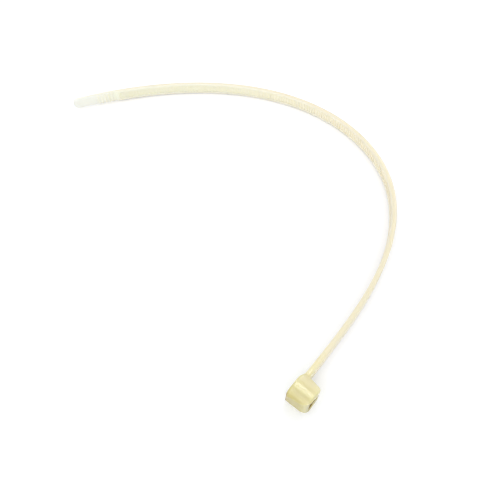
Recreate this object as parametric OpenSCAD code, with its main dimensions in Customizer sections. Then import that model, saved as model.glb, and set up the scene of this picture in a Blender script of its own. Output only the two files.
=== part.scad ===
// One-piece nylon cable tie, lying on its side with the strap sprung into an open curl.
// The origin is the centre of the slot in the head. +X runs out of the slot, the way the
// tail leaves it, +Y along the strap as it leaves the head, +Z across the strap's width.

/* [Strap] */
// Length of the strap from the head's neck to its tip, along its middle
strap_len = 193.7; // [170:0.1:280]
// Width of the strap
strap_w = 3.9; // [3.2:0.1:4.6]
// Thickness of the strap over its rails
strap_t = 1.35; // [1.1:0.05:1.5]
// Rounding of the strap's four long edges
edge_r = 0.3; // [0.15:0.05:0.4]

/* [Curl] */
// Distance from the neck to the tightest bend
bend1_at = 65; // [40:1:90]
// Radius of the tightest bend
bend1_r = 44.4; // [35:0.1:120]
// Distance from the neck to the second bend
bend2_at = 110; // [95:1:120]
// Radius of the second bend
bend2_r = 53.4; // [40:0.1:140]
// Distance from the neck to the third bend
bend3_at = 150; // [125:1:165]
// Radius of the third bend
bend3_r = 83; // [50:0.5:200]
// Radius of the bend at the tip
tip_bend_r = 143; // [80:1:400]

/* [Teeth] */
// Width of the toothed channel between the strap's two rails
channel_w = 2.3; // [1.6:0.1:2.6]
// Depth of the channel to the roots of the teeth
channel_d = 0.5; // [0.5:0.05:0.65]
// Height of a tooth over its root
tooth_h = 0.35; // [0.25:0.05:0.45]
// Distance from one tooth to the next
tooth_pitch = 1; // [0.8:0.05:1.4]
// Smooth strap left between the neck and the first tooth
smooth_len = 9; // [4:0.5:20]

/* [Tail] */
// Length of the thin tail that is threaded through the head
tail_len = 15; // [12:0.5:25]
// Thickness of the tail between its grip ribs
tail_t = 0.9; // [0.6:0.05:0.95]
// Distance from one grip rib to the next
rib_pitch = 1.2; // [1:0.05:1.8]
// Number of grip ribs
ribs = 5; // [3:1:7]
// Width of the tail at its tip
tip_w = 3.6; // [2.2:0.1:3.8]
// Rounding of the two corners of the tip
tip_r = 1.4; // [0.5:0.1:1.6]

/* [Head] */
// Length of the head from the neck to its end
head_len = 6.25; // [6:0.05:8]
// Width of the head, up as it lies
head_w = 6.5; // [6:0.1:8]
// Depth of the head along its slot
head_t = 5.3; // [4.6:0.1:6]
// Length over which the neck widens into the head
flare_len = 1.65; // [1.3:0.05:1.9]
// Share of the flare's slope that its round crest takes up
crest_share = 0.84; // [0.5:0.02:0.84]
// Rounding of the head's end, seen along the slot
end_r = 2.2; // [1:0.1:2.4]
// Rounding of the head's end towards its outer face
nose_r = 1.8; // [0.6:0.1:2.8]
// How much shorter the head is at its outer face than at its inner face
end_slope = 0.45; // [0:0.05:0.6]
// Rounding of the head's long edges
head_edge_r = 0.4; // [0.2:0.05:0.6]
// How far the head stands in past the strap's inner face
heel = 0.45; // [0.2:0.05:0.6]
// How far the shoulder slopes back from the neck to the outer face
shoulder_run = 0.85; // [0.6:0.05:1.3]
// Rounding between the shoulder and the outer face
shoulder_r = 0.9; // [0.3:0.1:1.2]

/* [Slot and pawl] */
// Wall between the slot and the head's end
end_wall = 1.5; // [1.2:0.05:1.8]
// Clearance beside a strap in the slot, on each side
slot_gap = 0.2; // [0.1:0.05:0.35]
// Room behind the strap in the slot that holds the pawl
pocket_len = 1.8; // [1.6:0.1:2.2]
// Clearance beside the pawl in the channel of a strap, on each side
pawl_gap = 0.1; // [0.05:0.05:0.2]
// Thickness of the pawl behind its teeth
pawl_t = 0.8; // [0.5:0.05:0.9]
// Thickness of the living hinge that joins the pawl to the head
hinge_t = 0.6; // [0.4:0.05:0.8]
// How far the pawl's free end stands back from the mouth of the slot
pawl_recess = 0.6; // [0.3:0.1:1]

/* [Hidden] */
nylon = [0.95, 0.925, 0.8];
// Steps in each rounded corner
corner_steps = 6;
// Steps in each rounded edge of the strap
edge_steps = 2;
// Length over which strap and head run into each other
neck_lap = 0.5;
// How far the neck stands proud of the strap all round
neck_step = 0.05;
// Overhang of a cut past the face that it opens
over = 1;

// Slot and head, along Y
passage_t = strap_t + 2 * slot_gap;
passage_w = strap_w + 2 * slot_gap;
slot_len = passage_t + pocket_len;
pocket_w = channel_w + 2 * slot_gap;
passage_y = -slot_len / 2;
pocket_y = passage_y + passage_t;
end_y = passage_y - end_wall;
neck_y = end_y + head_len;
// Strap's middle and its two faces, along X
strap_in = -head_t / 2 + heel;
strap_mid = strap_in + strap_t / 2;
strap_out = strap_in + strap_t;

// The strap leaves the neck straight. Its curl is then a chain of short arcs, whose bend
// varies evenly between the stated radii.
straight_len = 2;
arcs = 60;
arc_len = (strap_len - straight_len) / arcs;
bends = [
    [0, 0],
    [bend1_at, 1 / bend1_r],
    [bend2_at, 1 / bend2_r],
    [bend3_at, 1 / bend3_r],
    [strap_len, 1 / tip_bend_r]
];
function arc_bend(i) = lookup(straight_len + (i + 0.5) * arc_len, bends);
function arc_turn(i) = arc_bend(i) * arc_len * 180 / PI;
// Point that lies a run further along an arc, from the arc's start and heading
function on_arc(start, heading, bend, run) =
    let (end = heading + bend * run * 180 / PI)
    start + [sin(end) - sin(heading), cos(heading) - cos(end)] / bend;
headings = [for (i = 0, a = 90; i <= arcs; a = a + arc_turn(i), i = i + 1) a];
joints = [
    for (
        i = 0, p = [strap_mid, neck_y + straight_len];
        i <= arcs;
        p = on_arc(p, headings[i], arc_bend(i), arc_len), i = i + 1
    ) p
];
// Point at a distance s from the neck, offset outwards from the strap's middle
function strap_point(s, out) =
    s <= straight_len
        ? [strap_mid + out, neck_y + s]
        : let (
            i = min(floor((s - straight_len) / arc_len), arcs - 1),
            run = s - straight_len - i * arc_len,
            heading = headings[i] + arc_bend(i) * run * 180 / PI
        )
        on_arc(joints[i], headings[i], arc_bend(i), run) + out * [sin(heading), -cos(heading)];

// Outline with rounded corners, from points that are [x, y, radius]
function rounded(points) = [
    for (i = [0 : len(points) - 1])
        let (
            n = len(points),
            p = points[i],
            at = [p[0], p[1]],
            before = unit([for (k = [0, 1]) points[(i + n - 1) % n][k] - p[k]]),
            after = unit([for (k = [0, 1]) points[(i + 1) % n][k] - p[k]]),
            half = acos(before * after) / 2,
            side = sign(before[0] * after[1] - before[1] * after[0]),
            centre = at + unit(before + after) * p[2] / sin(half),
            start = atan2(before[1], before[0]) - side * 90,
            sweep = side * (180 - 2 * half)
        )
        for (step = [0 : p[2] > 0 ? corner_steps : 0])
            p[2] > 0
                ? let (a = start - step / corner_steps * sweep) centre + p[2] * [cos(a), sin(a)]
                : at
];
function unit(v) = v / norm(v);

// Turns an outline drawn as (along the strap, across the strap) into a solid along X
module along_slot(depth) {
    rotate([90, 0, 90]) linear_extrude(depth, center = true) children();
}

// The rounding of the tip leaves a flat end that is wider than the rounding of the edges
round_r = min(tip_r, tip_w / 2 - 1.2 * edge_r);
// Half the strap's width at a distance s from the neck: the tail narrows and its tip is round
function half_width(s) =
    let (
        tail = max(0, s - strap_len + tail_len),
        taper = max(0, strap_w - tip_w) / 2 * tail / tail_len,
        in_tip = max(0, s - strap_len + round_r)
    )
    strap_w / 2 - taper - round_r + sqrt(max(0, round_r * round_r - in_tip * in_tip));

// Cross-section of the strap with rounded corners, as (outwards, across the strap)
function strap_section(half_w) = [
    for (corner = [0 : 3], step = [0 : edge_steps])
        let (
            x = corner < 1 || corner > 2 ? -1 : 1,
            z = corner < 2 ? -1 : 1,
            a = 180 + (corner + step / edge_steps) * 90
        )
        [x * (strap_t / 2 - edge_r) + edge_r * cos(a), z * (half_w - edge_r) + edge_r * sin(a)]
];

// The strap before its channel and tail are cut is its cross-section swept along the curl
module strap_band() {
    stations = [
        -neck_lap,
        for (i = [0 : arcs]) if (i * arc_len < arcs * arc_len - round_r) straight_len + i * arc_len,
        for (step = [0 : corner_steps]) strap_len - round_r + round_r * sin(step / corner_steps * 90)
    ];
    sides = len(strap_section(strap_w / 2));
    last = len(stations) - 1;
    polyhedron(
        points = [
            for (s = stations, p = strap_section(half_width(s)))
                let (q = strap_point(s, p[0]))
                [q[0], q[1], p[1]]
        ],
        faces = [
            [for (j = [sides - 1 : -1 : 0]) j],
            for (i = [0 : last - 1], j = [0 : sides - 1])
                let (k = (j + 1) % sides)
                [i * sides + j, i * sides + k, (i + 1) * sides + k, (i + 1) * sides + j],
            [for (j = [0 : sides - 1]) last * sides + j]
        ]
    );
}

// The teeth stand in a channel: steep faces look to the head and ramps fall towards the tip
module tooth_channel() {
    teeth = floor((strap_len - tail_len - smooth_len) / tooth_pitch);
    root = -strap_t / 2 + channel_d;
    crest = root - tooth_h;
    linear_extrude(channel_w, center = true)
        polygon([
            strap_point(smooth_len, crest),
            for (j = [1 : teeth - 1])
                let (s = smooth_len + j * tooth_pitch)
                each [strap_point(s, root), strap_point(s, crest)],
            strap_point(smooth_len + teeth * tooth_pitch, root),
            for (j = [teeth : -4 : 0]) strap_point(smooth_len + j * tooth_pitch, -strap_t / 2 - over),
            strap_point(smooth_len, -strap_t / 2 - over)
        ]);
}

// Cut that thins the tail on its inner face and leaves the grip ribs standing
module tail_relief() {
    floor_out = strap_t / 2 - tail_t;
    first_rib = strap_len - tail_len + 1.5 * rib_pitch;
    rib_w = rib_pitch / 2;
    flank = rib_pitch / 8;
    linear_extrude(strap_w + 2 * over, center = true)
        polygon([
            strap_point(strap_len - tail_len, -strap_t / 2 - over),
            strap_point(strap_len - tail_len, -strap_t / 2),
            strap_point(strap_len - tail_len + rib_pitch / 2, floor_out),
            for (j = [0 : ribs - 1])
                let (s = first_rib + j * rib_pitch)
                each [
                    strap_point(s - rib_w / 2, floor_out),
                    strap_point(s - rib_w / 2 + flank, -strap_t / 2 + edge_r / 2),
                    strap_point(s + rib_w / 2 - flank, -strap_t / 2 + edge_r / 2),
                    strap_point(s + rib_w / 2, floor_out)
                ],
            strap_point(strap_len - 2 * edge_r, floor_out),
            strap_point(strap_len, floor_out + edge_r),
            strap_point(strap_len, floor_out + edge_r) + over * heading_out(strap_len),
            strap_point(strap_len, -strap_t / 2 - over) + over * heading_out(strap_len)
        ]);
}
function heading_out(s) = unit(strap_point(s, 0) - strap_point(s - over, 0));

module strap() {
    difference() {
        strap_band();
        tooth_channel();
        tail_relief();
    }
}

// Head and neck seen from above as the tie lies, along the width of the strap
module head_side() {
    polygon(rounded([
        [strap_in - neck_step, neck_y + neck_lap, 0],
        [strap_in - neck_step, neck_y, 1.5],
        [-head_t / 2, neck_y - flare_len, 1.5],
        [-head_t / 2, end_y, head_edge_r],
        [head_t / 2, end_y + end_slope, nose_r],
        [head_t / 2, neck_y - shoulder_run, shoulder_r],
        [strap_out + neck_step, neck_y, head_edge_r],
        [strap_out + neck_step, neck_y + neck_lap, 0]
    ]));
}

// Head and neck seen along the slot, as (along the strap, across the strap): a barrel form
// with a small fillet at the neck, a long round crest and a round end
module head_front() {
    neck_half = strap_w / 2 + neck_step;
    rise = head_w / 2 - neck_half;
    slope_len = norm([flare_len, rise]);
    slope_half = atan2(rise, flare_len) / 2;
    crest_r = crest_share * slope_len / tan(slope_half);
    neck_r = (0.99 - crest_share) * slope_len / tan(slope_half);
    half = [
        [neck_y + neck_lap, neck_half, 0],
        [neck_y, neck_half, neck_r],
        [neck_y - flare_len, head_w / 2, crest_r],
        [end_y, head_w / 2, end_r]
    ];
    polygon(rounded(concat(half, [for (j = [3 : -1 : 0]) [half[j][0], -half[j][1], half[j][2]]])));
}

// Head seen along the strap: the long edges are rounded
module head_section() {
    polygon(rounded([
        for (p = [[-1, -1], [1, -1], [1, 1], [-1, 1]]) [p[0] * head_t / 2, p[1] * head_w / 2, head_edge_r]
    ]));
}

module head_block() {
    intersection() {
        linear_extrude(head_w, center = true) head_side();
        along_slot(head_t) head_front();
        translate([0, neck_y + over, 0]) rotate([90, 0, 0]) linear_extrude(head_len + 2 * over) head_section();
    }
}

// The slot is as wide as a strap where the strap runs, and as wide as its channel behind it
module slot() {
    lead = 0.35;
    translate([-head_t / 2 - over, passage_y, -passage_w / 2]) cube([head_t + 2 * over, passage_t, passage_w]);
    translate([-head_t / 2 - over, pocket_y - over, -pocket_w / 2])
        cube([head_t + 2 * over, pocket_len + over, pocket_w]);
    linear_extrude(passage_w, center = true)
        polygon([
            [-head_t / 2 - over, passage_y - lead - over],
            [-head_t / 2 + lead, passage_y],
            [-head_t / 2 + lead, passage_y + lead],
            [-head_t / 2 - over, passage_y + lead]
        ]);
}

// The pawl is hinged on the slot's wall near its inner mouth and leans into the strap's way, so
// that its teeth reach the roots of a strap's teeth. Their steep faces look out of the slot and
// stop a strap that is pulled back.
module pawl() {
    pawl_teeth = 2;
    ledge = 0.3;
    lap = 0.3;
    wall_y = slot_len / 2;
    tip_y = pocket_y - slot_gap - channel_d;
    valley_y = tip_y + tooth_h;
    hinge_x = -head_t / 2 + head_edge_r;
    free_x = head_t / 2 - pawl_recess;
    first_x = free_x - ledge - pawl_teeth * tooth_pitch;
    linear_extrude(channel_w - 2 * pawl_gap, center = true)
        polygon([
            [hinge_x, wall_y + lap],
            [hinge_x, wall_y],
            [first_x, valley_y],
            for (j = [1 : pawl_teeth]) each [
                [first_x + j * tooth_pitch, tip_y],
                [first_x + j * tooth_pitch, valley_y]
            ],
            [free_x, valley_y],
            [free_x, valley_y + pawl_t],
            [first_x + tooth_pitch / 2, valley_y + pawl_t],
            [hinge_x + hinge_t, wall_y],
            [hinge_x + hinge_t, wall_y + lap]
        ]);
}

module cable_tie() {
    color(nylon) {
        strap();
        difference() {
            head_block();
            slot();
        }
        pawl();
    }
}

cable_tie();
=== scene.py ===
import math

import bmesh
import bpy
from mathutils import Matrix, Vector


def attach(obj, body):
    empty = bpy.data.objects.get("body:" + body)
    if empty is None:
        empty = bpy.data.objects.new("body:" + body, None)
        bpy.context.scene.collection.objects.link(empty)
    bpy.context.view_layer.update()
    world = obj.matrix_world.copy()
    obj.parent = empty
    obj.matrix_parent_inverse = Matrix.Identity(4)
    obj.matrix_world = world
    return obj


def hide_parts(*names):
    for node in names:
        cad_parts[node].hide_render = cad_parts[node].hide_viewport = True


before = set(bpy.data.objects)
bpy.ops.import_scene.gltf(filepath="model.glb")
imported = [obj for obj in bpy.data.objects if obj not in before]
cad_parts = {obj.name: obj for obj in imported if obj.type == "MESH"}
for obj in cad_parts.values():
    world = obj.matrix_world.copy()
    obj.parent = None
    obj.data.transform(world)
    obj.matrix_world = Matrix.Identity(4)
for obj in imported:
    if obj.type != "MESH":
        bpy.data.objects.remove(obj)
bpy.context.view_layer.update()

# Cable tie: the strap.
# A nylon cable tie is moulded flat in one shot. The strap is a thin bar with rounded long
# edges, two rails beside a shallow channel on one face, and a thinner tail with a round tip.
# It is drawn here as it leaves the mould, straight along +Y, in millimetres.

STRAP_LENGTH = 193.7
STRAP_WIDTH = 3.9
STRAP_THICKNESS = 1.35
STRAP_EDGE = 0.3
EDGE_CROWN = 0.18
CROWN_RUN = 2.5
STRAP_INNER_FACE = -2.2
STRAP_MIDDLE = STRAP_INNER_FACE + STRAP_THICKNESS / 2
NECK_Y = 2.975
CHANNEL_WIDTH = 2.3
CHANNEL_DEPTH = 0.5
CHANNEL_START = 9.0
CHANNEL_WALL = 0.06
CHANNEL_SLANT = 0.04
CHANNEL_EDGE = 0.05
TOOTH_PITCH = 1.0
TOOTH_HEIGHT = 0.35
TAIL_LENGTH = 15.0
TAIL_THICKNESS = 0.9
THINNING_RUN = 0.65
TIP_WIDTH = 3.6
TIP_ROUND = 1.4
TIP_EDGE = 0.18
TAIL_START = STRAP_LENGTH - TAIL_LENGTH
TEETH = int((TAIL_START - CHANNEL_START) / TOOTH_PITCH)
CHANNEL_END = CHANNEL_START + TEETH * TOOTH_PITCH


def new_object(name, verts, faces):
    mesh = bpy.data.meshes.new(name)
    mesh.from_pydata([tuple(v) for v in verts], [], faces)
    mesh.validate()
    solid = bpy.data.objects.new(name, mesh)
    bpy.context.scene.collection.objects.link(solid)
    return solid


def ramp(value, start, end):
    return min(1.0, max(0.0, (value - start) / (end - start)))


def strap_ring(s):
    """Outline of the strap at a distance s from the neck, as (x, z)."""
    tail = max(0.0, s - TAIL_START)
    half = STRAP_WIDTH / 2 - (STRAP_WIDTH - TIP_WIDTH) / 2 * tail / TAIL_LENGTH
    in_tip = max(0.0, s - STRAP_LENGTH + TIP_ROUND)
    half -= TIP_ROUND - math.sqrt(max(0.0, TIP_ROUND**2 - in_tip**2))
    # the last tenths of a millimetre are rounded off in thickness too
    end_turn = math.pi / 2 * ramp(s, STRAP_LENGTH - TIP_EDGE, STRAP_LENGTH)
    end_round = TIP_EDGE * (1 - math.cos(end_turn))
    outer = STRAP_INNER_FACE + STRAP_THICKNESS - end_round
    thinning = (STRAP_THICKNESS - TAIL_THICKNESS) * ramp(tail, 0.0, THINNING_RUN)
    inner = STRAP_INNER_FACE + thinning + end_round
    depth = CHANNEL_DEPTH * ramp(s, CHANNEL_START, CHANNEL_START + CHANNEL_WALL)
    depth *= 1 - ramp(s, CHANNEL_END - CHANNEL_WALL, CHANNEL_END)
    edge = min(STRAP_EDGE, (outer - inner) / 2 - 0.02, half * 0.7)
    lip = min(CHANNEL_WIDTH / 2, (half - edge) * 0.8)
    # the narrow edges are crowned: in their middle they stand EDGE_CROWN proud of their sides
    middle = (outer + inner) / 2
    crown = EDGE_CROWN * ramp(s, 0.0, CROWN_RUN) / ((outer - inner) / 2) ** 2
    side = [(outer, 0.0), (outer, (half - edge) / 2)]
    for step in range(5):
        turn = math.pi / 2 * step / 4
        side.append((outer - edge + edge * math.cos(turn), half - edge + edge * math.sin(turn)))
    side += [(middle + (outer - middle - edge) * (0.5 - 0.5 * i), half) for i in range(3)]
    for step in range(5):
        turn = math.pi / 2 * step / 4
        side.append((inner + edge - edge * math.sin(turn), half - edge + edge * math.cos(turn)))
    side = [(x, z - crown * (x - middle) ** 2 * (z > 0)) for x, z in side]
    side.append((inner, lip + CHANNEL_SLANT))
    side.append((inner + min(depth, CHANNEL_EDGE), lip))
    side.append((inner + depth, lip - CHANNEL_SLANT))
    side.append((inner + depth, 0.0))
    return side + [(x, -z) for x, z in side[-2:0:-1]]


# Distances from the neck at which the outline changes, closest where it changes fastest
stations = [-1.0 + 0.5 * i for i in range(19)]
stations += [CHANNEL_START + CHANNEL_WALL / 2 * i for i in range(3)]
stations += [CHANNEL_START + TOOTH_PITCH * i for i in range(1, TEETH)]
stations += [CHANNEL_END - CHANNEL_WALL + CHANNEL_WALL / 2 * i for i in range(3)]
stations += [TAIL_START + THINNING_RUN / 3 * i for i in range(4)]
stations += [STRAP_LENGTH - 14.0 + 0.5 * i for i in range(26)]
stations += [STRAP_LENGTH - TIP_ROUND * math.cos(math.pi / 2 * i / 10) for i in range(9)]
stations += [STRAP_LENGTH - TIP_EDGE + TIP_EDGE * math.sin(math.pi / 2 * i / 5) for i in range(6)]
stations = sorted(set(round(s, 4) for s in stations))
stations = [s for i, s in enumerate(stations) if i == 0 or s - stations[i - 1] > 0.004]

verts, faces = [], []
for s in stations:
    ring = strap_ring(s)
    verts += [(x, NECK_Y + s, z) for x, z in ring]
count = len(ring)
for i in range(len(stations) - 1):
    for j in range(count):
        k = (j + 1) % count
        faces.append((i * count + k, i * count + j, (i + 1) * count + j, (i + 1) * count + k))
faces.append(tuple(range(count)))
faces.append(tuple((len(stations) - 1) * count + j for j in reversed(range(count))))
strap = new_object("strap_blank", verts, faces)


# Cable tie: ratchet teeth and grip ribs.
# Both are moulded with the strap. The teeth stand in the channel, steep towards the head and
# sloping towards the tip; the ribs cross the tail for the fingers. One Geometry Nodes tree
# sets each of them in a row along the strap.

TOOTH_LAND = 0.12
TOOTH_SINK = 0.15
TOOTH_GAP = 0.01
TOOTH_EASE = 0.03
TOOTH_SIDE_SINK = 0.05
RIBS = 5
RIB_PITCH = 1.2
RIB_SINK = 0.1
RIB_FOOT = 0.02
RIB_DROP = 0.15
RIB_EASE = 0.07
RIB_END_GAP = 0.3
FIRST_RIB = 1.5 * RIB_PITCH
PATTERN_HALF = 0.5


def add_node(tree, kind, links=None, **settings):
    node = tree.nodes.new(kind)
    for name, value in settings.items():
        setattr(node, name, value)
    for key, value in (links or {}).items():
        socket = node.inputs[key]
        if isinstance(value, bpy.types.NodeSocket):
            tree.links.new(value, socket)
        else:
            socket.default_value = value
    return node


def extruded(name, outline, axis, low, high):
    """Solid from an outline in the two other axes, drawn out along x, y or z."""
    place = {
        "x": lambda a, b, c: (c, a, b),
        "y": lambda a, b, c: (a, c, b),
        "z": lambda a, b, c: (a, b, c),
    }[axis]
    count = len(outline)
    verts = [place(a, b, low) for a, b in outline] + [place(a, b, high) for a, b in outline]
    faces = [tuple(reversed(range(count))), tuple(range(count, 2 * count))]
    faces += [(i, (i + 1) % count, count + (i + 1) % count, count + i) for i in range(count)]
    solid = new_object(name, verts, faces)
    shape = bmesh.new()
    shape.from_mesh(solid.data)
    bmesh.ops.recalc_face_normals(shape, faces=shape.faces)
    shape.to_mesh(solid.data)
    shape.free()
    return solid


def prism(name, outline, half_width, ease):
    """Bar across the strap from an (x, y) outline, with its long edges eased."""
    bar = extruded(name, outline, "z", -half_width, half_width)
    shape = bmesh.new()
    shape.from_mesh(bar.data)
    long_edges = [e for e in shape.edges if abs(e.verts[0].co.z - e.verts[1].co.z) > half_width]
    bmesh.ops.bevel(
        shape, geom=long_edges, offset=ease, segments=2, affect="EDGES", clamp_overlap=True
    )
    shape.to_mesh(bar.data)
    shape.free()
    return bar


row_tree = bpy.data.node_groups.new("row_along_strap", "GeometryNodeTree")
for name, kind in (
    ("Member", "NodeSocketObject"),
    ("Count", "NodeSocketInt"),
    ("First", "NodeSocketVector"),
    ("Pitch", "NodeSocketFloat"),
    ("Width", "NodeSocketFloat"),
    ("Narrowing", "NodeSocketFloat"),
    ("Plastic", "NodeSocketMaterial"),
):
    row_tree.interface.new_socket(name, in_out="INPUT", socket_type=kind)
row_tree.interface.new_socket("Row", in_out="OUTPUT", socket_type="NodeSocketGeometry")
given = add_node(row_tree, "NodeGroupInput").outputs
step = add_node(row_tree, "ShaderNodeCombineXYZ", {"Y": given["Pitch"]})
line = add_node(
    row_tree,
    "GeometryNodeMeshLine",
    {"Count": given["Count"], "Start Location": given["First"], "Offset": step.outputs[0]},
)
index = add_node(row_tree, "GeometryNodeInputIndex")
narrower = add_node(
    row_tree,
    "ShaderNodeMath",
    {0: index.outputs[0], 1: given["Narrowing"], 2: given["Width"]},
    operation="MULTIPLY_ADD",
)
scale = add_node(row_tree, "ShaderNodeCombineXYZ", {"X": 1.0, "Y": 1.0, "Z": narrower.outputs[0]})
member = add_node(row_tree, "GeometryNodeObjectInfo", {"Object": given["Member"]})
row = add_node(
    row_tree,
    "GeometryNodeInstanceOnPoints",
    {"Points": line.outputs[0], "Instance": member.outputs["Geometry"], "Scale": scale.outputs[0]},
)
real = add_node(row_tree, "GeometryNodeRealizeInstances", {"Geometry": row.outputs[0]})
painted = add_node(
    row_tree, "GeometryNodeSetMaterial", {"Geometry": real.outputs[0], "Material": given["Plastic"]}
)
add_node(row_tree, "NodeGroupOutput", {"Row": painted.outputs[0]})


def run_tree(solid, tree, values):
    """Put a Geometry Nodes tree on an object, with its inputs set by name."""
    modifier = solid.modifiers.new(tree.name, "NODES")
    modifier.node_group = tree
    for socket in tree.interface.items_tree:
        if socket.item_type == "SOCKET" and socket.name in values:
            modifier[socket.identifier] = values[socket.name]


def settle(solid):
    """Turn what the modifiers give into the object's own mesh."""
    bpy.context.view_layer.update()
    result = solid.evaluated_get(bpy.context.evaluated_depsgraph_get())
    mesh = bpy.data.meshes.new_from_object(result)
    solid.modifiers.clear()
    solid.data = mesh
    return solid


nylon = bpy.data.materials.new("natural_nylon_66_moulded")

root_x = STRAP_INNER_FACE + CHANNEL_DEPTH
crest_x = root_x - TOOTH_HEIGHT
tooth = prism(
    "tooth_pattern",
    [
        (root_x + TOOTH_SINK, TOOTH_GAP),
        (crest_x, TOOTH_GAP),
        (crest_x, TOOTH_LAND),
        (root_x, TOOTH_PITCH - TOOTH_GAP),
        (root_x + TOOTH_SINK, TOOTH_PITCH - TOOTH_GAP),
    ],
    PATTERN_HALF,
    TOOTH_EASE,
)
teeth = new_object("teeth_row", [(0, 0, 0)], [])
run_tree(
    teeth,
    row_tree,
    {
        "Member": tooth,
        "Count": TEETH,
        "First": (0.0, NECK_Y + CHANNEL_START, 0.0),
        "Pitch": TOOTH_PITCH,
        "Width": CHANNEL_WIDTH + 2 * TOOTH_SIDE_SINK,
        "Narrowing": 0.0,
        "Plastic": nylon,
    },
)
settle(teeth)

tail_face = STRAP_INNER_FACE + STRAP_THICKNESS - TAIL_THICKNESS
rib = prism(
    "rib_pattern",
    [
        (tail_face + RIB_SINK, -RIB_PITCH / 4 - RIB_FOOT),
        (tail_face, -RIB_PITCH / 4),
        (STRAP_INNER_FACE + RIB_DROP, -RIB_PITCH / 8),
        (STRAP_INNER_FACE + RIB_DROP, RIB_PITCH / 8),
        (tail_face, RIB_PITCH / 4),
        (tail_face + RIB_SINK, RIB_PITCH / 4 + RIB_FOOT),
    ],
    PATTERN_HALF,
    RIB_EASE,
)
narrowing = -(STRAP_WIDTH - TIP_WIDTH) / TAIL_LENGTH
ribs = new_object("ribs_row", [(0, 0, 0)], [])
run_tree(
    ribs,
    row_tree,
    {
        "Member": rib,
        "Count": RIBS,
        "First": (0.0, NECK_Y + TAIL_START + FIRST_RIB, 0.0),
        "Pitch": RIB_PITCH,
        "Width": STRAP_WIDTH + narrowing * FIRST_RIB - RIB_END_GAP,
        "Narrowing": narrowing * RIB_PITCH,
        "Plastic": nylon,
    },
)
settle(ribs)

# Cable tie: the head with its slot and pawl.
# The head is moulded on the strap's end: a block that flares from the neck, slopes back at the
# shoulder and is round at its end. The slot takes a strap, and in the pocket behind it the pawl
# hangs on a thin living hinge. Every edge is eased by the mould.

HEAD_LENGTH = 6.25
HEAD_WIDTH = 6.5
HEAD_THICKNESS = 5.3
FLARE_LENGTH = 1.65
CREST_ROUND = 4.9
END_ROUND = 2.2
HEAD_EDGE = 0.4
SHOULDER_RUN = 0.85
SHOULDER_ROUND = 0.9
NOSE_ROUND = 1.8
END_SLOPE = 0.45
PASSAGE_THICKNESS = 1.75
PASSAGE_WIDTH = 4.3
POCKET_LENGTH = 1.8
POCKET_WIDTH = 2.7
STUB_LENGTH = 1.4
STUB_SINK = 0.25
STUB_NARROWING = 0.35
LEAD_IN_DEPTH = 0.35
LEAD_IN_REACH = 1.0
PAWL_CLEARANCE = 0.2
PAWL_SIDE_GAP = 0.1
PAWL_RECESS = 0.6
PAWL_NOSE = 0.3
PAWL_THICKNESS = 0.8
HINGE_THICKNESS = 0.6
HINGE_ROOT = 0.3
FORM_REACH = 4.0
PASSAGE_Y = -(PASSAGE_THICKNESS + POCKET_LENGTH) / 2
POCKET_Y = PASSAGE_Y + PASSAGE_THICKNESS
SLOT_END_Y = POCKET_Y + POCKET_LENGTH
HEAD_END_Y = NECK_Y - HEAD_LENGTH


def rounded(points, steps=8):
    """Outline with each corner (x, y, radius) rounded."""
    outline = []
    for i, (x, y, radius) in enumerate(points):
        corner = Vector((x, y))
        if not radius:
            outline.append(tuple(corner))
            continue
        before = (Vector(points[i - 1][:2]) - corner).normalized()
        after = (Vector(points[(i + 1) % len(points)][:2]) - corner).normalized()
        half = before.angle(after) / 2
        centre = corner + (before + after).normalized() * radius / math.sin(half)
        start = corner + before * radius / math.tan(half) - centre
        sweep = start.angle_signed(corner + after * radius / math.tan(half) - centre)
        for step in range(steps + 1):
            arm = start.copy()
            arm.rotate(Matrix.Rotation(-sweep * step / steps, 2))
            outline.append(tuple(centre + arm))
    return outline


def combine(solid, other, operation, solver="EXACT"):
    """Join, cut or intersect two solids, and take the second one away."""
    modifier = solid.modifiers.new("combine", "BOOLEAN")
    modifier.operation = operation
    modifier.solver = solver
    modifier.object = other
    settle(solid)
    bpy.data.objects.remove(other)
    return solid


# The head is the overlap of three rounded outlines: from its side, its front and its end. Its
# neck goes on into the strap as a stub that sinks below the strap's faces.
side_outline = rounded([
    (STRAP_INNER_FACE + STUB_SINK, NECK_Y + STUB_LENGTH, 0),
    (STRAP_INNER_FACE - 0.02, NECK_Y, 1.5),
    (-HEAD_THICKNESS / 2, NECK_Y - FLARE_LENGTH, 1.5),
    (-HEAD_THICKNESS / 2, HEAD_END_Y, HEAD_EDGE),
    (HEAD_THICKNESS / 2, HEAD_END_Y + END_SLOPE, NOSE_ROUND),
    (HEAD_THICKNESS / 2, NECK_Y - SHOULDER_RUN, SHOULDER_ROUND),
    (STRAP_INNER_FACE + STRAP_THICKNESS + 0.02, NECK_Y, HEAD_EDGE),
    (STRAP_INNER_FACE + STRAP_THICKNESS - STUB_SINK, NECK_Y + STUB_LENGTH, 0),
])
half_front = [
    (NECK_Y + STUB_LENGTH, STRAP_WIDTH / 2 - STUB_NARROWING, 0),
    (NECK_Y, STRAP_WIDTH / 2 + 0.02, 0.9),
    (NECK_Y - FLARE_LENGTH, HEAD_WIDTH / 2, CREST_ROUND),
    (HEAD_END_Y, HEAD_WIDTH / 2, END_ROUND),
]
front_outline = rounded(half_front + [(y, -z, r) for y, z, r in reversed(half_front)])
section_outline = rounded([
    (x * HEAD_THICKNESS / 2, z * HEAD_WIDTH / 2, HEAD_EDGE)
    for x, z in ((-1, -1), (1, -1), (1, 1), (-1, 1))
])
head = extruded("head", side_outline, "z", -HEAD_WIDTH / 2, HEAD_WIDTH / 2)
combine(head, extruded("front_form", front_outline, "x", -FORM_REACH, FORM_REACH), "INTERSECT")
combine(
    head, extruded("section_form", section_outline, "y", HEAD_END_Y - 1, NECK_Y + 2), "INTERSECT"
)

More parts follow.
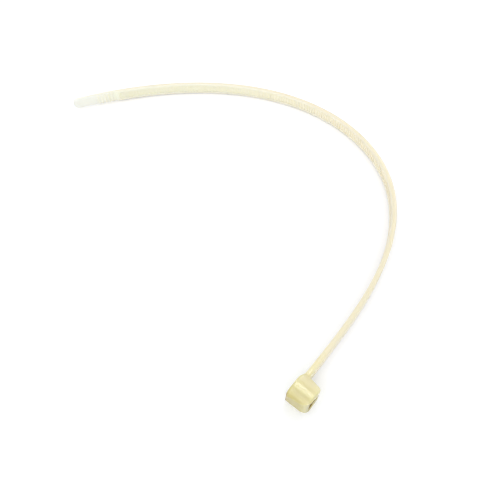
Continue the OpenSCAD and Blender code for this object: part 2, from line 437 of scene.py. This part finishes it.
slot_outline = [
    (PASSAGE_Y, -PASSAGE_WIDTH / 2),
    (POCKET_Y, -PASSAGE_WIDTH / 2),
    (POCKET_Y, -POCKET_WIDTH / 2),
    (SLOT_END_Y, -POCKET_WIDTH / 2),
    (SLOT_END_Y, POCKET_WIDTH / 2),
    (POCKET_Y, POCKET_WIDTH / 2),
    (POCKET_Y, PASSAGE_WIDTH / 2),
    (PASSAGE_Y, PASSAGE_WIDTH / 2),
]
combine(head, extruded("slot_form", slot_outline, "x", -FORM_REACH, FORM_REACH), "DIFFERENCE")
lead_in = [
    (-HEAD_THICKNESS / 2 - LEAD_IN_REACH, PASSAGE_Y - LEAD_IN_DEPTH - LEAD_IN_REACH),
    (-HEAD_THICKNESS / 2 + LEAD_IN_DEPTH, PASSAGE_Y),
    (-HEAD_THICKNESS / 2 + LEAD_IN_DEPTH, PASSAGE_Y + LEAD_IN_DEPTH),
    (-HEAD_THICKNESS / 2 - LEAD_IN_REACH, PASSAGE_Y + LEAD_IN_DEPTH),
]
lead_in_form = extruded("lead_in_form", lead_in, "z", -PASSAGE_WIDTH / 2, PASSAGE_WIDTH / 2)
combine(head, lead_in_form, "DIFFERENCE")

pawl_tip = POCKET_Y - PAWL_CLEARANCE - CHANNEL_DEPTH
pawl_valley = pawl_tip + TOOTH_HEIGHT
hinge_x = -HEAD_THICKNESS / 2 + HEAD_EDGE
free_x = HEAD_THICKNESS / 2 - PAWL_RECESS
first_x = free_x - PAWL_NOSE - 2 * TOOTH_PITCH
pawl_outline = [
    (hinge_x, SLOT_END_Y + HINGE_ROOT),
    (hinge_x, SLOT_END_Y),
    (first_x, pawl_valley),
    (first_x + TOOTH_PITCH, pawl_tip),
    (first_x + TOOTH_PITCH, pawl_valley),
    (first_x + 2 * TOOTH_PITCH, pawl_tip),
    (first_x + 2 * TOOTH_PITCH, pawl_valley),
    (free_x, pawl_valley),
    (free_x, pawl_valley + PAWL_THICKNESS),
    (first_x + TOOTH_PITCH / 2, pawl_valley + PAWL_THICKNESS),
    (hinge_x + HINGE_THICKNESS, SLOT_END_Y),
    (hinge_x + HINGE_THICKNESS, SLOT_END_Y + HINGE_ROOT),
]
pawl_half = CHANNEL_WIDTH / 2 - PAWL_SIDE_GAP
combine(head, extruded("pawl", pawl_outline, "z", -pawl_half, pawl_half), "UNION")

# A fine voxel skin, smoothed a little, gives all the edges the small radius of a mould.
skin = head.modifiers.new("skin", "REMESH")
skin.mode = "VOXEL"
skin.voxel_size = 0.07
soften = head.modifiers.new("soften", "SMOOTH")
soften.factor = 0.5
soften.iterations = 5
thin_out = head.modifiers.new("thin_out", "DECIMATE")
thin_out.ratio = 0.45
settle(head)

# Cable tie: one moulding.
# Strap, teeth, ribs and head are one shot of nylon, so they are joined into one skin. The
# strap is then sprung from flat into the open curl in which the tie lies.

combine(strap, teeth, "UNION", "MANIFOLD")
combine(strap, ribs, "UNION", "MANIFOLD")
combine(strap, head, "UNION", "MANIFOLD")

# The curl leaves the neck straight; its bend varies evenly between these radii, each given at
# its distance from the neck.
STRAIGHT = 2.0
BENDS = [
    (0.0, 0.0),
    (65.0, 1 / 44.4),
    (110.0, 1 / 53.4),
    (150.0, 1 / 83.0),
    (STRAP_LENGTH, 1 / 143.0),
]


def bend_at(s):
    """Bend, one over the radius, at a distance s from the neck."""
    for (s0, k0), (s1, k1) in zip(BENDS, BENDS[1:]):
        if s <= s1:
            return k0 + (k1 - k0) * (s - s0) / (s1 - s0)
    return BENDS[-1][1]


ARCS = 60
PIECES = 8
arc = (STRAP_LENGTH - STRAIGHT) / ARCS
heading = math.pi / 2
path = [Vector((STRAP_MIDDLE, NECK_Y, 0.0)), Vector((STRAP_MIDDLE, NECK_Y + STRAIGHT, 0.0))]
for i in range(ARCS):
    bend = bend_at(STRAIGHT + (i + 0.5) * arc)
    for _ in range(PIECES):
        turn = bend * arc / PIECES
        chord = 2 / bend * math.sin(turn / 2)
        way = heading + turn / 2
        path.append(path[-1] + chord * Vector((math.cos(way), math.sin(way), 0.0)))
        heading += turn
curl_mesh = bpy.data.meshes.new("curl_path")
curl_mesh.from_pydata([tuple(p) for p in path], [(i, i + 1) for i in range(len(path) - 1)], [])
curl = bpy.data.objects.new("curl_path", curl_mesh)
bpy.context.scene.collection.objects.link(curl)

curl_tree = bpy.data.node_groups.new("spring_into_curl", "GeometryNodeTree")
for name, kind in (
    ("Moulding", "NodeSocketGeometry"),
    ("Path", "NodeSocketObject"),
    ("Neck", "NodeSocketFloat"),
    ("Middle", "NodeSocketFloat"),
    ("Plastic", "NodeSocketMaterial"),
):
    curl_tree.interface.new_socket(name, in_out="INPUT", socket_type=kind)
curl_tree.interface.new_socket("Sprung", in_out="OUTPUT", socket_type="NodeSocketGeometry")
given = add_node(curl_tree, "NodeGroupInput").outputs
guide = add_node(curl_tree, "GeometryNodeObjectInfo", {"Object": given["Path"]})
guide = add_node(curl_tree, "GeometryNodeMeshToCurve", {"Mesh": guide.outputs["Geometry"]})
position = add_node(curl_tree, "GeometryNodeInputPosition")
flat = add_node(curl_tree, "ShaderNodeSeparateXYZ", {0: position.outputs[0]})
run = add_node(
    curl_tree, "ShaderNodeMath", {0: flat.outputs["Y"], 1: given["Neck"]}, operation="SUBTRACT"
)
out = add_node(
    curl_tree, "ShaderNodeMath", {0: flat.outputs["X"], 1: given["Middle"]}, operation="SUBTRACT"
)
along = add_node(
    curl_tree,
    "GeometryNodeSampleCurve",
    {"Curves": guide.outputs[0], "Length": run.outputs[0]},
    mode="LENGTH",
)
outward = add_node(
    curl_tree,
    "ShaderNodeVectorMath",
    {0: along.outputs["Tangent"], 1: (0.0, 0.0, 1.0)},
    operation="CROSS_PRODUCT",
)
offset = add_node(
    curl_tree,
    "ShaderNodeVectorMath",
    {0: outward.outputs[0], "Scale": out.outputs[0]},
    operation="SCALE",
)
height = add_node(curl_tree, "ShaderNodeCombineXYZ", {"Z": flat.outputs["Z"]})
in_plane = add_node(
    curl_tree,
    "ShaderNodeVectorMath",
    {0: along.outputs["Position"], 1: offset.outputs[0]},
    operation="ADD",
)
place = add_node(
    curl_tree, "ShaderNodeVectorMath", {0: in_plane.outputs[0], 1: height.outputs[0]}, operation="ADD"
)
beyond_neck = add_node(
    curl_tree, "ShaderNodeMath", {0: run.outputs[0], 1: 0.0}, operation="GREATER_THAN"
)
sprung = add_node(
    curl_tree,
    "GeometryNodeSetPosition",
    {"Geometry": given["Moulding"], "Selection": beyond_neck.outputs[0], "Position": place.outputs[0]},
)
painted = add_node(
    curl_tree, "GeometryNodeSetMaterial", {"Geometry": sprung.outputs[0], "Material": given["Plastic"]}
)
add_node(curl_tree, "NodeGroupOutput", {"Sprung": painted.outputs[0]})

# Extra millimetres added to the depth that sets the nylon's tint, beyond what a place is thick. The
# neckward and crest ones follow the nylon; the others are painted shade, and inside the slot, where
# little light gets out again, one value of painted shade stands for all of it.
NECKWARD_DEPTH = 1.0
CREST_DEPTH = 0.8
END_PAINTED_SHADE = 3.3
END_FACE_PAINTED_SHADE = 1.0
NARROW_EDGE_PAINTED_SHADE = 0.6
OUTER_FACE_PAINTED_SHADE = 3.0
INNER_EDGE_PAINTED_SHADE = 3.0
SLOT_PAINTED_SHADE = 12.0
SLOT_MARGIN = 0.05
OUTER_RIM = 0.2


def nylon_depth_and_shade(x, y, z):
    """Millimetres of nylon that the light crosses at a place of the unsprung moulding, with painted
    shade added on the head's end, outer face and inner edges, on the strap's narrow edges and in the
    slot.
    """
    s = y - NECK_Y
    # painted shade: the slot's walls get the darkest tint, for the little light that comes back out of
    # it
    in_slot = PASSAGE_Y - SLOT_MARGIN < y < SLOT_END_Y + SLOT_MARGIN
    in_slot = in_slot and abs(z) < PASSAGE_WIDTH / 2 + SLOT_MARGIN
    if in_slot and abs(x) < HEAD_THICKNESS / 2 - OUTER_RIM:
        return SLOT_PAINTED_SHADE
    # the strap thins towards its tail, and swells into the head
    depth_with_shade = STRAP_THICKNESS + NECKWARD_DEPTH * (1 - ramp(s, 0.0, TAIL_START))
    depth_with_shade -= (STRAP_THICKNESS - TAIL_THICKNESS) * ramp(s, TAIL_START, TAIL_START + 4)
    depth_with_shade += (HEAD_THICKNESS - CREST_DEPTH - depth_with_shade) * (1 - ramp(s, 0.8, 7.0))
    depth_with_shade += CREST_DEPTH * (1 - ramp(s, -4.0, -1.0))
    # painted shade: the head is darkened towards its end, and more on the end face itself
    depth_with_shade += END_PAINTED_SHADE * (1 - ramp(y, HEAD_END_Y, HEAD_END_Y + 2.6))
    depth_with_shade += END_FACE_PAINTED_SHADE * (1 - ramp(y, HEAD_END_Y + 0.1, HEAD_END_Y + 0.6))
    # painted shade: the strap's narrow edges are darkened
    depth_with_shade += NARROW_EDGE_PAINTED_SHADE * ramp(abs(z), 1.5, 1.9) * ramp(s, 2.0, 5.0)
    if s < 0:
        # painted shade: the head's outer face, around the slot's mouth, is darkened
        depth_with_shade += OUTER_FACE_PAINTED_SHADE * ramp(x, HEAD_THICKNESS / 2 - 0.4, HEAD_THICKNESS / 2 - 0.1)
        # painted shade: a dark band along the edges of the head's inner face
        flare = (STRAP_INNER_FACE + HEAD_THICKNESS / 2) * ramp(y, NECK_Y - FLARE_LENGTH, NECK_Y)
        inward = x + HEAD_THICKNESS / 2 - flare
        depth_with_shade += INNER_EDGE_PAINTED_SHADE * ramp(inward, 0.02, 0.12) * (1 - ramp(inward, 0.2, 0.5))
    return depth_with_shade


tie = strap
tie.name = "moulded_tie"
# the attribute holds the nylon's thickness together with the painted shade
depth = tie.data.attributes.new("nylon_depth_and_shade", "FLOAT", "POINT")
depth.data.foreach_set("value", [nylon_depth_and_shade(*vertex.co) for vertex in tie.data.vertices])
run_tree(tie, curl_tree, {"Path": curl, "Neck": NECK_Y, "Middle": STRAP_MIDDLE, "Plastic": nylon})
settle(tie)
tie.data.transform(Matrix.Scale(0.001, 4))
tie.data.shade_smooth()
tie.data.set_sharp_from_angle(angle=math.radians(38))
for pattern in (tooth, rib, curl):
    bpy.data.objects.remove(pattern)

# Cable tie: its natural nylon.
# Undyed nylon 6.6, injection moulded: a smooth surface over a milky, slightly translucent body
# that scatters light. Thin stretches are nearly white, and thick ones turn straw yellow.


def colour(code):
    """sRGB hex to linear."""
    parts = [int(code[i : i + 2], 16) / 255 for i in (0, 2, 4)]
    return [c / 12.92 if c <= 0.04045 else ((c + 0.055) / 1.055) ** 2.4 for c in parts] + [1.0]


# Tint by share of the deepest nylon: from the thin tail, through the strap, to the head; the darker
# stops are painted shade on the head's end, faces and edges, and the last is the painted shade of the
# slot's walls
NYLON_TINTS_AND_SHADE = (
    (0.0, "FFF8E4"),
    (0.045, "FFF6DA"),
    (0.078, "FBEED5"),
    (0.125, "EDE0C6"),
    (0.4, "E9DFAC"),
    (0.5, "DDD4A6"),
    (0.74, "CBC182"),
    (1.0, "A08C62"),
)

nylon.use_nodes = True
nylon_tree = nylon.node_tree
nylon_tree.nodes.clear()
depth_with_shade_in = add_node(nylon_tree, "ShaderNodeAttribute", attribute_name="nylon_depth_and_shade")
nylon_place = add_node(nylon_tree, "ShaderNodeTexCoord").outputs["Object"]
# Uneven cooling clouds the nylon in soft patches some 12 mm long
clouds = add_node(
    nylon_tree, "ShaderNodeTexNoise", {"Vector": nylon_place, "Scale": 80.0, "Detail": 2.0}
)
share = add_node(
    nylon_tree,
    "ShaderNodeMapRange",
    {"Value": depth_with_shade_in.outputs["Fac"], "From Min": TAIL_THICKNESS, "From Max": SLOT_PAINTED_SHADE},
)
shift = add_node(
    nylon_tree,
    "ShaderNodeMath",
    {0: clouds.outputs["Fac"], 1: 0.3, 2: 0.85},
    operation="MULTIPLY_ADD",
)
toned = add_node(
    nylon_tree, "ShaderNodeMath", {0: share.outputs[0], 1: shift.outputs[0]}, operation="MULTIPLY"
)
tint = add_node(nylon_tree, "ShaderNodeValToRGB", {"Fac": toned.outputs[0]})
stops = tint.color_ramp.elements
stops[0].color = colour(NYLON_TINTS_AND_SHADE[0][1])
stops[1].color = colour(NYLON_TINTS_AND_SHADE[-1][1])
for position, code in NYLON_TINTS_AND_SHADE[1:-1]:
    stops.new(position).color = colour(code)
# The head's cavity is polished and the strap's is not, so the head is glossier
gloss = add_node(
    nylon_tree,
    "ShaderNodeMapRange",
    {
        "Value": depth_with_shade_in.outputs["Fac"],
        "From Min": 2.6,
        "From Max": 5.0,
        "To Min": 0.3,
        "To Max": 0.15,
    },
)
# Moulded skin: a faint ripple about 0.6 mm across
ripple = add_node(
    nylon_tree, "ShaderNodeTexNoise", {"Vector": nylon_place, "Scale": 1600.0, "Detail": 2.0}
)
bump = add_node(
    nylon_tree,
    "ShaderNodeBump",
    {"Height": ripple.outputs["Fac"], "Strength": 0.04, "Distance": 0.0001},
)
skin_shader = add_node(
    nylon_tree,
    "ShaderNodeBsdfPrincipled",
    {
        "Base Color": tint.outputs[0],
        "Normal": bump.outputs[0],
        "Roughness": gloss.outputs[0],
        "IOR": 1.53,
        "Subsurface Weight": 1.0,
        "Subsurface Radius": (1.0, 0.95, 0.85),
        "Subsurface Scale": 0.0025,
    },
)
add_node(nylon_tree, "ShaderNodeOutputMaterial", {"Surface": skin_shader.outputs[0]})

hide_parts("cable_tie")
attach(tie, "root")

# Floor.
# A plain white sheet under the tie, large enough to be the background from every side. It
# leans by less than one degree, so that the head and the crown of the curl both touch it.

FLOOR_HALF = 6.0
FLOOR_HEIGHT = -0.003255
FLOOR_SLOPE = (-0.00379, 0.01341)


def seen_directly(tree):
    """1 for what the camera, a reflection or a see-through body shows, 0 for lighting."""
    rays = add_node(tree, "ShaderNodeLightPath").outputs
    seen = add_node(
        tree,
        "ShaderNodeMath",
        {0: rays["Is Camera Ray"], 1: rays["Is Glossy Ray"]},
        operation="MAXIMUM",
    )
    seen = add_node(
        tree, "ShaderNodeMath", {0: seen.outputs[0], 1: rays["Is Transmission Ray"]}, operation="MAXIMUM"
    )
    return seen.outputs[0]


floor_corners = []
for x, y in ((-1, -1), (1, -1), (1, 1), (-1, 1)):
    x, y = x * FLOOR_HALF, y * FLOOR_HALF
    floor_corners.append((x, y, FLOOR_HEIGHT + FLOOR_SLOPE[0] * x + FLOOR_SLOPE[1] * y))
floor = new_object("floor", floor_corners, [(0, 1, 2, 3)])
paper = bpy.data.materials.new("white_paper")
paper.use_nodes = True
paper_tree = paper.node_tree
paper_tree.nodes.clear()
sheet = add_node(paper_tree, "ShaderNodeBsdfDiffuse", {"Color": colour("F4F6FA")})
# The lamps fall off away from the tie, so the sheet is lifted to white there, and only a little
# beside the tie, where its shadow has to show
paper_place = add_node(paper_tree, "ShaderNodeTexCoord").outputs["Object"]
away = add_node(paper_tree, "ShaderNodeVectorMath", {0: paper_place}, operation="LENGTH")
lift = add_node(
    paper_tree,
    "ShaderNodeMapRange",
    {
        "Value": away.outputs["Value"],
        "From Min": 0.2,
        "From Max": 1.0,
        "To Min": 0.18,
        "To Max": 0.5,
    },
)
glow = add_node(
    paper_tree, "ShaderNodeEmission", {"Color": (1.0, 1.0, 1.0, 1.0), "Strength": lift.outputs[0]}
)
lifted = add_node(paper_tree, "ShaderNodeAddShader", {0: sheet.outputs[0], 1: glow.outputs[0]})
paper_mix = add_node(
    paper_tree,
    "ShaderNodeMixShader",
    {0: seen_directly(paper_tree), 1: sheet.outputs[0], 2: lifted.outputs[0]},
)
add_node(paper_tree, "ShaderNodeOutputMaterial", {"Surface": paper_mix.outputs[0]})
floor.data.materials.append(paper)

# Light.
# A small lamp high behind the tie draws the narrow highlight on the head's crest. A wide soft
# box in front lights the faces turned to the photograph, and weaker ones to the left, to the
# right and behind keep the shadows soft, with an even white surround.


def soft_box(name, position, size, power):
    """Square lamp, size in metres and power in watts, turned to the middle of the tie."""
    lamp = bpy.data.lights.new(name, "AREA")
    lamp.shape = "SQUARE"
    lamp.size = size
    lamp.energy = power
    box = bpy.data.objects.new(name, lamp)
    bpy.context.scene.collection.objects.link(box)
    box.location = position
    box.rotation_euler = (LAMP_TARGET - Vector(position)).to_track_quat("-Z", "Y").to_euler()


LAMP_TARGET = Vector((-0.05, 0.035, 0.0))
soft_box("soft_box_overhead", (-0.16, 0.375, 0.9), 0.2, 0.6)
soft_box("soft_box_front", (0.08, -0.86, 0.8), 1.2, 5.6)
soft_box("soft_box_left", (-0.8, -0.1, 0.6), 0.6, 0.25)
soft_box("soft_box_right", (0.7, -0.25, 0.75), 0.8, 0.4)
soft_box("soft_box_back", (0.0, 0.9, 0.45), 0.6, 1.3)
world = bpy.data.worlds.new("white_surround")
bpy.context.scene.world = world
world.use_nodes = True
world_tree = world.node_tree
world_tree.nodes.clear()
white = (1.0, 1.0, 1.0, 1.0)
surround = add_node(world_tree, "ShaderNodeBackground", {"Color": white, "Strength": 0.66})
plain = add_node(world_tree, "ShaderNodeBackground", {"Color": white, "Strength": 1.0})
world_mix = add_node(
    world_tree,
    "ShaderNodeMixShader",
    {0: seen_directly(world_tree), 1: surround.outputs[0], 2: plain.outputs[0]},
)
add_node(world_tree, "ShaderNodeOutputWorld", {"Surface": world_mix.outputs[0]})
bpy.context.scene.view_settings.view_transform = "Standard"

# Camera.
# At the photograph's angle: 54 degrees down on to the tie, with the head nearest.

CAMERA_PLACE = Vector((0.01125, -0.03079, 0.0934))
CAMERA_AZIMUTH = math.radians(130.45)
CAMERA_DOWN = math.radians(53.83)
SENSOR_WIDTH = 36.0
FOCAL_SHARE = 443.0 / 500
lens = bpy.data.cameras.new("camera")
lens.sensor_width = SENSOR_WIDTH
lens.lens = FOCAL_SHARE * SENSOR_WIDTH
lens.clip_start = 0.005
lens.clip_end = 50.0
camera = bpy.data.objects.new("camera", lens)
bpy.context.scene.collection.objects.link(camera)
look = Vector((
    math.cos(CAMERA_AZIMUTH) * math.cos(CAMERA_DOWN),
    math.sin(CAMERA_AZIMUTH) * math.cos(CAMERA_DOWN),
    -math.sin(CAMERA_DOWN),
))
camera.location = CAMERA_PLACE
camera.rotation_euler = look.to_track_quat("-Z", "Y").to_euler()
bpy.context.scene.camera = camera
